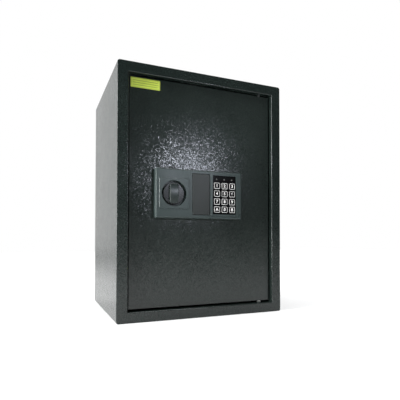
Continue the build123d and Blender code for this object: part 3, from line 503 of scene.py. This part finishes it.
def around(mesh, box, y, into, across, leg, chance):
    """Stitches along the four sides of a rectangle in X and Z; across is +1 outside it, -1 inside it."""
    (x0, z0), (x1, z1) = box
    side, up = Vector((across, 0, 0)), Vector((0, 0, across))
    for x, way in ((x0, -side), (x1, side)):
        stitches(mesh, Vector((x, y, z0)), Vector((x, y, z1)), way, into, leg, chance)
    for z, way in ((z0, -up), (z1, up)):
        stitches(mesh, Vector((x0, y, z)), Vector((x1, y, z)), way, into, leg, chance)


def weld_piece(name, mesh, material, body):
    bmesh.ops.recalc_face_normals(mesh, faces=mesh.faces)
    data = bpy.data.meshes.new(name)
    mesh.to_mesh(data)
    mesh.free()
    for face in data.polygons:
        face.use_smooth = True
    return new_object(name, data, material, body)


def cabinet_welds(material):
    """Stitches behind and in front of the back panel, and under the shelf rails."""
    chance, mesh = random.Random(11), bmesh.new()
    low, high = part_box("back_panel")
    edge, ahead, behind = 3.5 * MM, Vector((0, -1, 0)), Vector((0, 1, 0))
    for y, into, leg in ((high.y, behind, 1.7 * MM), (low.y, ahead, 3.0 * MM)):
        around(mesh, ((low.x, low.z), (high.x, high.z)), y, into, -1, leg, chance)
    rail_low, rail_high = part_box("shelf_rails")
    for x, way in ((rail_low.x, 1), (rail_high.x, -1)):
        start = Vector((x, rail_low.y + edge, rail_low.z))
        end = Vector((x, rail_high.y - edge, rail_low.z))
        stitches(mesh, start, end, Vector((way, 0, 0)), Vector((0, 0, -1)), 1.4 * MM, chance)
    weld_piece("cabinet_welds", mesh, material, "cabinet")


def door_welds(material):
    """Stitches round the box section and beside the two hinge blocks."""
    chance, mesh = random.Random(12), bmesh.new()
    plate_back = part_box("door_plate")[1].y
    low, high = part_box("door_box")
    behind, leg = Vector((0, 1, 0)), 2.6 * MM
    around(mesh, ((low.x, low.z), (high.x, high.z)), plate_back, behind, 1, leg, chance)
    low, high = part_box("hinge_blocks")
    tall = 30 * MM
    for x, way in ((low.x, -1), (high.x, 1)):
        for z in (low.z + 2 * MM, high.z - 2 * MM - tall):
            stitch(mesh, Vector((x, plate_back, z)), Vector((x, plate_back, z + tall)),
                   Vector((way, 0, 0)), behind, leg, chance)
    weld_piece("door_welds", mesh, material, "door")


def carpet(material):
    """Needle-punched mat on the cabinet's floor, cut round the two anchor holes, with a tufted face."""
    chance = random.Random(7)
    low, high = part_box("floor_mat")
    size, middle = high - low, (low + high) / 2
    hole_at, hole_r, corner = 90 * MM, 9 * MM, 6 * MM
    cell, under, face = 3.0 * MM, low.z + 0.05 * MM, low.z + 2.0 * MM
    across, back = round(size.x / cell), round(size.y / cell)
    mesh, grid = bmesh.new(), {}
    for i in range(across + 1):
        for j in range(back + 1):
            x, y = low.x + size.x * i / across, low.y + size.y * j / back
            side = -1 if x < middle.x else 1
            hole = Vector((side * hole_at, middle.y))
            away = Vector((x, y)) - hole
            if away.length < hole_r - cell / 2:
                continue
            if away.length < hole_r + cell / 2:
                x, y = hole + away.normalized() * hole_r
            depth = 1 if y > middle.y else -1
            reach_x, reach_y = size.x / 2 - corner, size.y / 2 - corner
            centre = Vector((middle.x + side * reach_x, middle.y + depth * reach_y))
            out = Vector((x, y)) - centre
            if out.x * side > 0 and out.y * depth > 0 and out.length > corner:
                x, y = centre + out.normalized() * corner
            grid[i, j] = mesh.verts.new((x, y, under))
    for i in range(across):
        for j in range(back):
            quad = [grid.get(spot) for spot in ((i, j), (i + 1, j), (i + 1, j + 1), (i, j + 1))]
            if all(quad):
                mesh.faces.new(quad)
    top = bmesh.ops.extrude_face_region(mesh, geom=list(mesh.faces))
    for vert in (v for v in top["geom"] if isinstance(v, bmesh.types.BMVert)):
        swell = 0.12 * MM * math.sin(vert.co.x / (31 * MM)) * math.cos(vert.co.y / (27 * MM))
        vert.co.z = face + swell + chance.uniform(-0.2, 0.2) * MM
    piece = weld_piece("carpet_mat", mesh, material, "cabinet")
    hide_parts("floor_mat")


# ---------------------------------------------------------------- stage
def make_floor():
    mesh = bpy.data.meshes.new("floor")
    half = 4.0
    spots = [(-half, -half, 0), (half, -half, 0), (half, half, 0), (-half, half, 0)]
    mesh.from_pydata(spots, [], [(0, 1, 2, 3)])
    floor = bpy.data.objects.new("floor", mesh)
    bpy.context.scene.collection.objects.link(floor)
    s = Shader("studio_floor")
    s.colour(s.mix(s.noise(3.0, 2.0), (0.75, 0.75, 0.75), (0.79, 0.79, 0.79)))
    s.rough(0.9)
    s.set(Specular_IOR_Level=0.1, Emission_Color=(1.0, 1.0, 1.0, 1.0))
    away = s.node("ShaderNodeVectorMath", {0: s.place}, operation="LENGTH").outputs["Value"]
    seen = s.node("ShaderNodeLightPath").outputs["Is Camera Ray"]
    s.join(s.math("MULTIPLY", seen, s.span(away, 0.35, 1.1, 0.20, 1.0)), s.bsdf.inputs["Emission Strength"])
    mesh.materials.append(s.material)


def area_light(name, at, towards, size, radiance, tint=(1.0, 1.0, 1.0)):
    """Rectangular light of (width, height); its power gives the radiance asked for."""
    data = bpy.data.lights.new(name, "AREA")
    data.shape = "RECTANGLE"
    data.size, data.size_y = size
    data.energy = radiance * math.pi * size[0] * size[1]
    data.color = tint
    light = bpy.data.objects.new(name, data)
    light.location = at
    light.rotation_euler = (Vector(towards) - Vector(at)).to_track_quat("-Z", "Y").to_euler()
    bpy.context.scene.collection.objects.link(light)


def make_light():
    """White surroundings, dim in front of the door, with a box overhead, a strip at the left and one above
    the front, and one hard lamp for the sparkle."""
    world = bpy.data.worlds.new("studio")
    world.use_nodes = True
    tree = world.node_tree
    back = tree.nodes["Background"]
    place = tree.nodes.new("ShaderNodeTexCoord")
    parts = tree.nodes.new("ShaderNodeSeparateXYZ")
    tree.links.new(place.outputs["Generated"], parts.inputs[0])
    ramp = tree.nodes.new("ShaderNodeMapRange")
    dim, bright = 0.03, 0.82
    for key, value in (("From Min", -0.80), ("From Max", -0.10), ("To Min", dim), ("To Max", bright)):
        ramp.inputs[key].default_value = value
    tree.links.new(parts.outputs["Y"], ramp.inputs["Value"])
    path = tree.nodes.new("ShaderNodeLightPath")
    brightest = tree.nodes.new("ShaderNodeMath")
    brightest.operation = "MAXIMUM"
    tree.links.new(ramp.outputs["Result"], brightest.inputs[0])
    tree.links.new(path.outputs["Is Camera Ray"], brightest.inputs[1])
    tree.links.new(brightest.outputs[0], back.inputs["Strength"])
    back.inputs["Color"].default_value = (1.0, 1.0, 1.0, 1.0)
    bpy.context.scene.world = world
    area_light("overhead", (0.0, 0.55, 2.1), (0.0, 0.55, 0.0), (2.2, 1.4), 2.6)
    area_light("left_strip", (-1.3, -0.36, 0.45), (0.0, -0.15, 0.27), (0.26, 1.2), 38.0)
    area_light("front_strip", (0.16, -0.50, 1.40), (0.0, -0.15, 0.25), (0.8, 0.09), 26.0)
    area_light("lamp", (0.325, -1.14, 0.470), (-0.038, -0.145, 0.293), (0.046, 0.046), 225.0,
               (0.84, 0.88, 1.0))
    bpy.context.scene.view_settings.view_transform = "Standard"


make_camera()
finishes = dress_nodes()
key_legends(printed_white("legend_ink"))
cabinet_welds(weld_metal("cabinet_weld", (0.014, 0.020, 0.0185)))
door_welds(weld_metal("door_weld", (0.016, 0.022, 0.0200)))
carpet(finishes["carpet"])
make_floor()
make_light()
